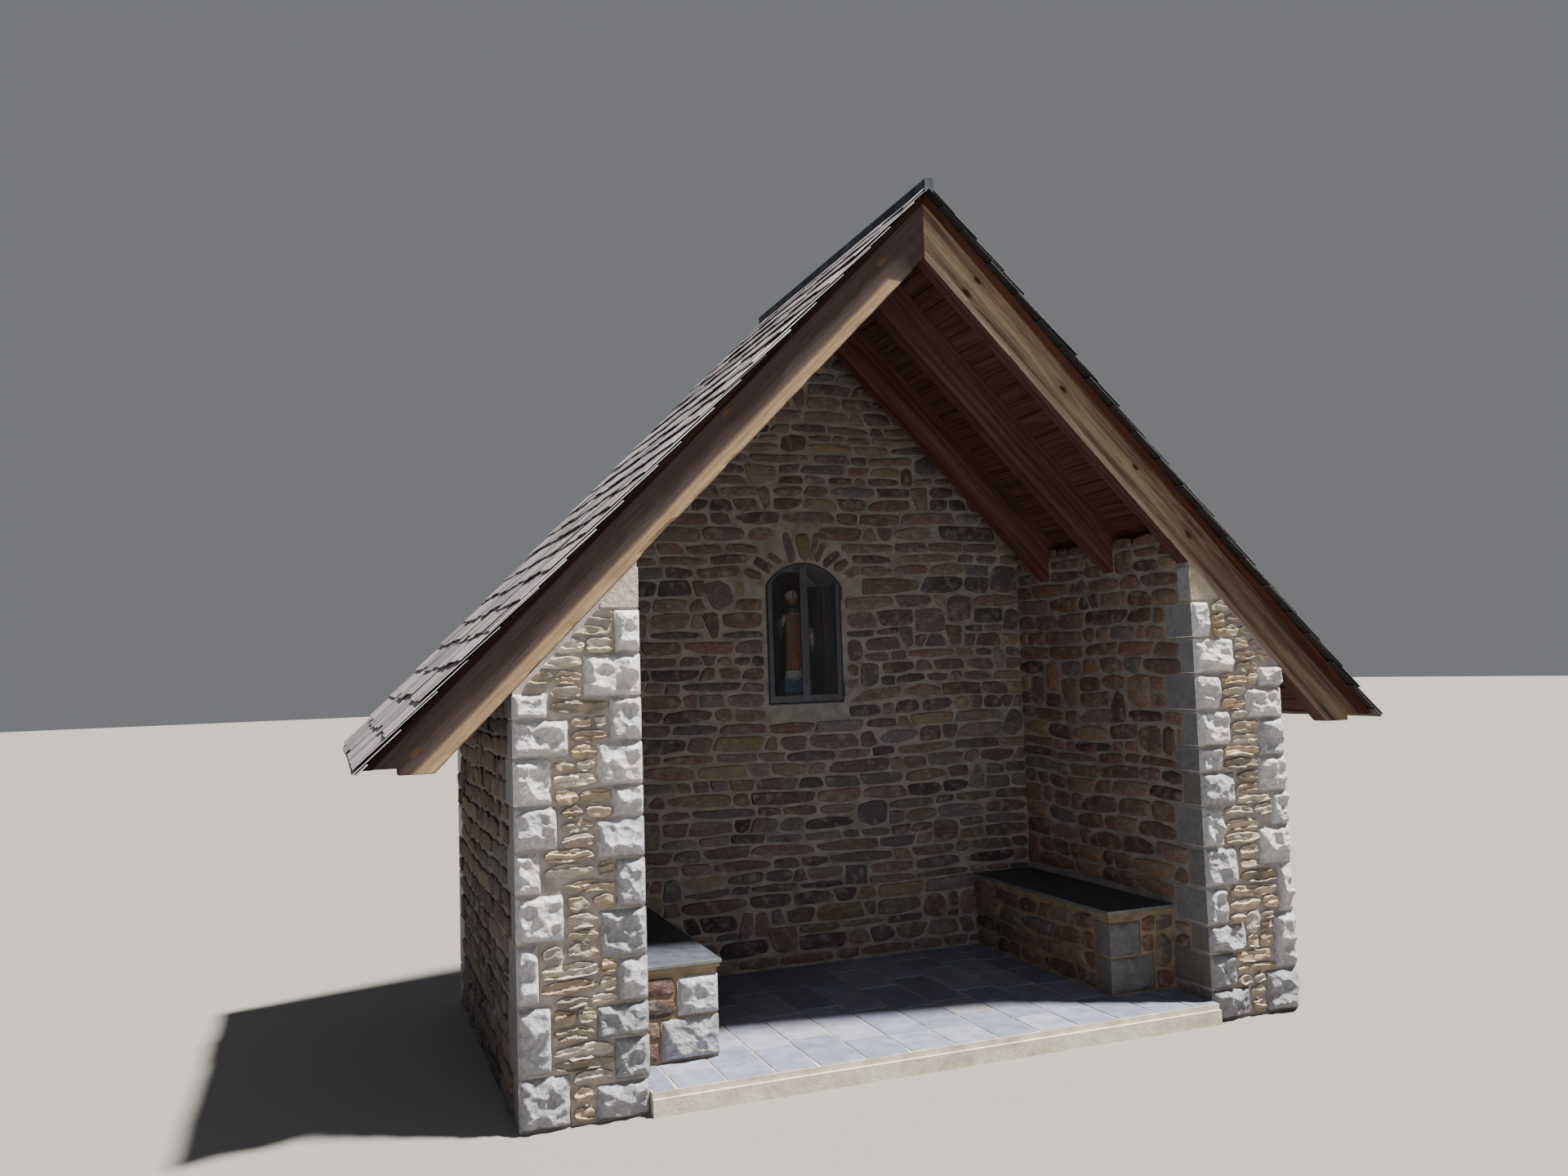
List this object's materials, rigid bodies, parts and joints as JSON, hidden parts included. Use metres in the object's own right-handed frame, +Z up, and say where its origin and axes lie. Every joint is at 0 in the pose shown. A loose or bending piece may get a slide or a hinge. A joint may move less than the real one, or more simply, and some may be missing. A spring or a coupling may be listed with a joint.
{
  "type": "chapel",
  "caption": "Open-fronted wayside chapel: rubble stone walls, steep slate roof on timber rafters, slate-topped stone benches and a glazed arched niche with a standing figure.",
  "frame": {"origin": "middle of the footprint under the roof, at the foot of the walls", "axes": "+X across the gable, to the right seen from the open front; +Y from the open front to the back wall; +Z up"},
  "size_m": [5.0904, 2.3, 4.0142],
  "materials": {
    "rubble_masonry": "rough brown and red schist rubble in wide grey-beige lime mortar joints, pale dressed limestone at the front corners",
    "arch_stone": "thin upright schist stones fanned around the arch in mortar",
    "lime_mortar": "pale trowelled mortar",
    "paving_slate": "riven slate slabs with pale joints",
    "bench_slate": "riven dark slate slab with a paler sawn edge",
    "roof_slate": "split dark grey roofing slate, dry and matt",
    "pine_beam": "stained pine, sun-bleached and streaked where it faces the weather",
    "stained_board": "red-brown stained tongued and grooved boards",
    "zinc": "weathered zinc sheet",
    "painted_steel": "dark blue-grey painted steel",
    "clear_glass": "clear window glass",
    "dark_wood": "dark stained wood",
    "painted_plaster": "painted plaster, red and ochre vestments over white"
  },
  "bodies": {
    "chapel": {"floor_bed": "lime_mortar", "slate_paving": "paving_slate", "left_wall": "rubble_masonry", "right_wall": "rubble_masonry", "back_wall_base": "rubble_masonry", "back_wall_left": "rubble_masonry", "back_wall_right": "rubble_masonry", "back_wall_gable": "rubble_masonry", "niche_back": "rubble_masonry", "niche_arch": "arch_stone", "left_bench_base": "rubble_masonry", "right_bench_base": "rubble_masonry", "left_bench_seat": "bench_slate", "right_bench_seat": "bench_slate", "rafter_left_1": "pine_beam", "rafter_left_2": "pine_beam", "rafter_left_3": "pine_beam", "rafter_left_4": "pine_beam", "rafter_right_1": "pine_beam", "rafter_right_2": "pine_beam", "rafter_right_3": "pine_beam", "rafter_right_4": "pine_beam", "left_roof_boards": "stained_board", "right_roof_boards": "stained_board", "verge_board_front_left": "stained_board", "verge_board_front_right": "stained_board", "verge_board_back_left": "stained_board", "verge_board_back_right": "stained_board", "left_slates": "roof_slate", "right_slates": "roof_slate", "ridge_roll": "zinc", "niche_frame": "painted_steel", "figure_plinth": "dark_wood", "niche_figure": "painted_plaster"},
    "niche_door_leaf": {"niche_door": "painted_steel", "niche_glass": "clear_glass"}
  },
  "joints": [
    {"name": "niche_door_hinge", "type": "hinge", "parent": "chapel", "child": "niche_door_leaf", "pos_m": [0.2067, 0.522, 1.57], "axis": [0, 0, 1], "range_deg": [0, 110]}
  ]
}
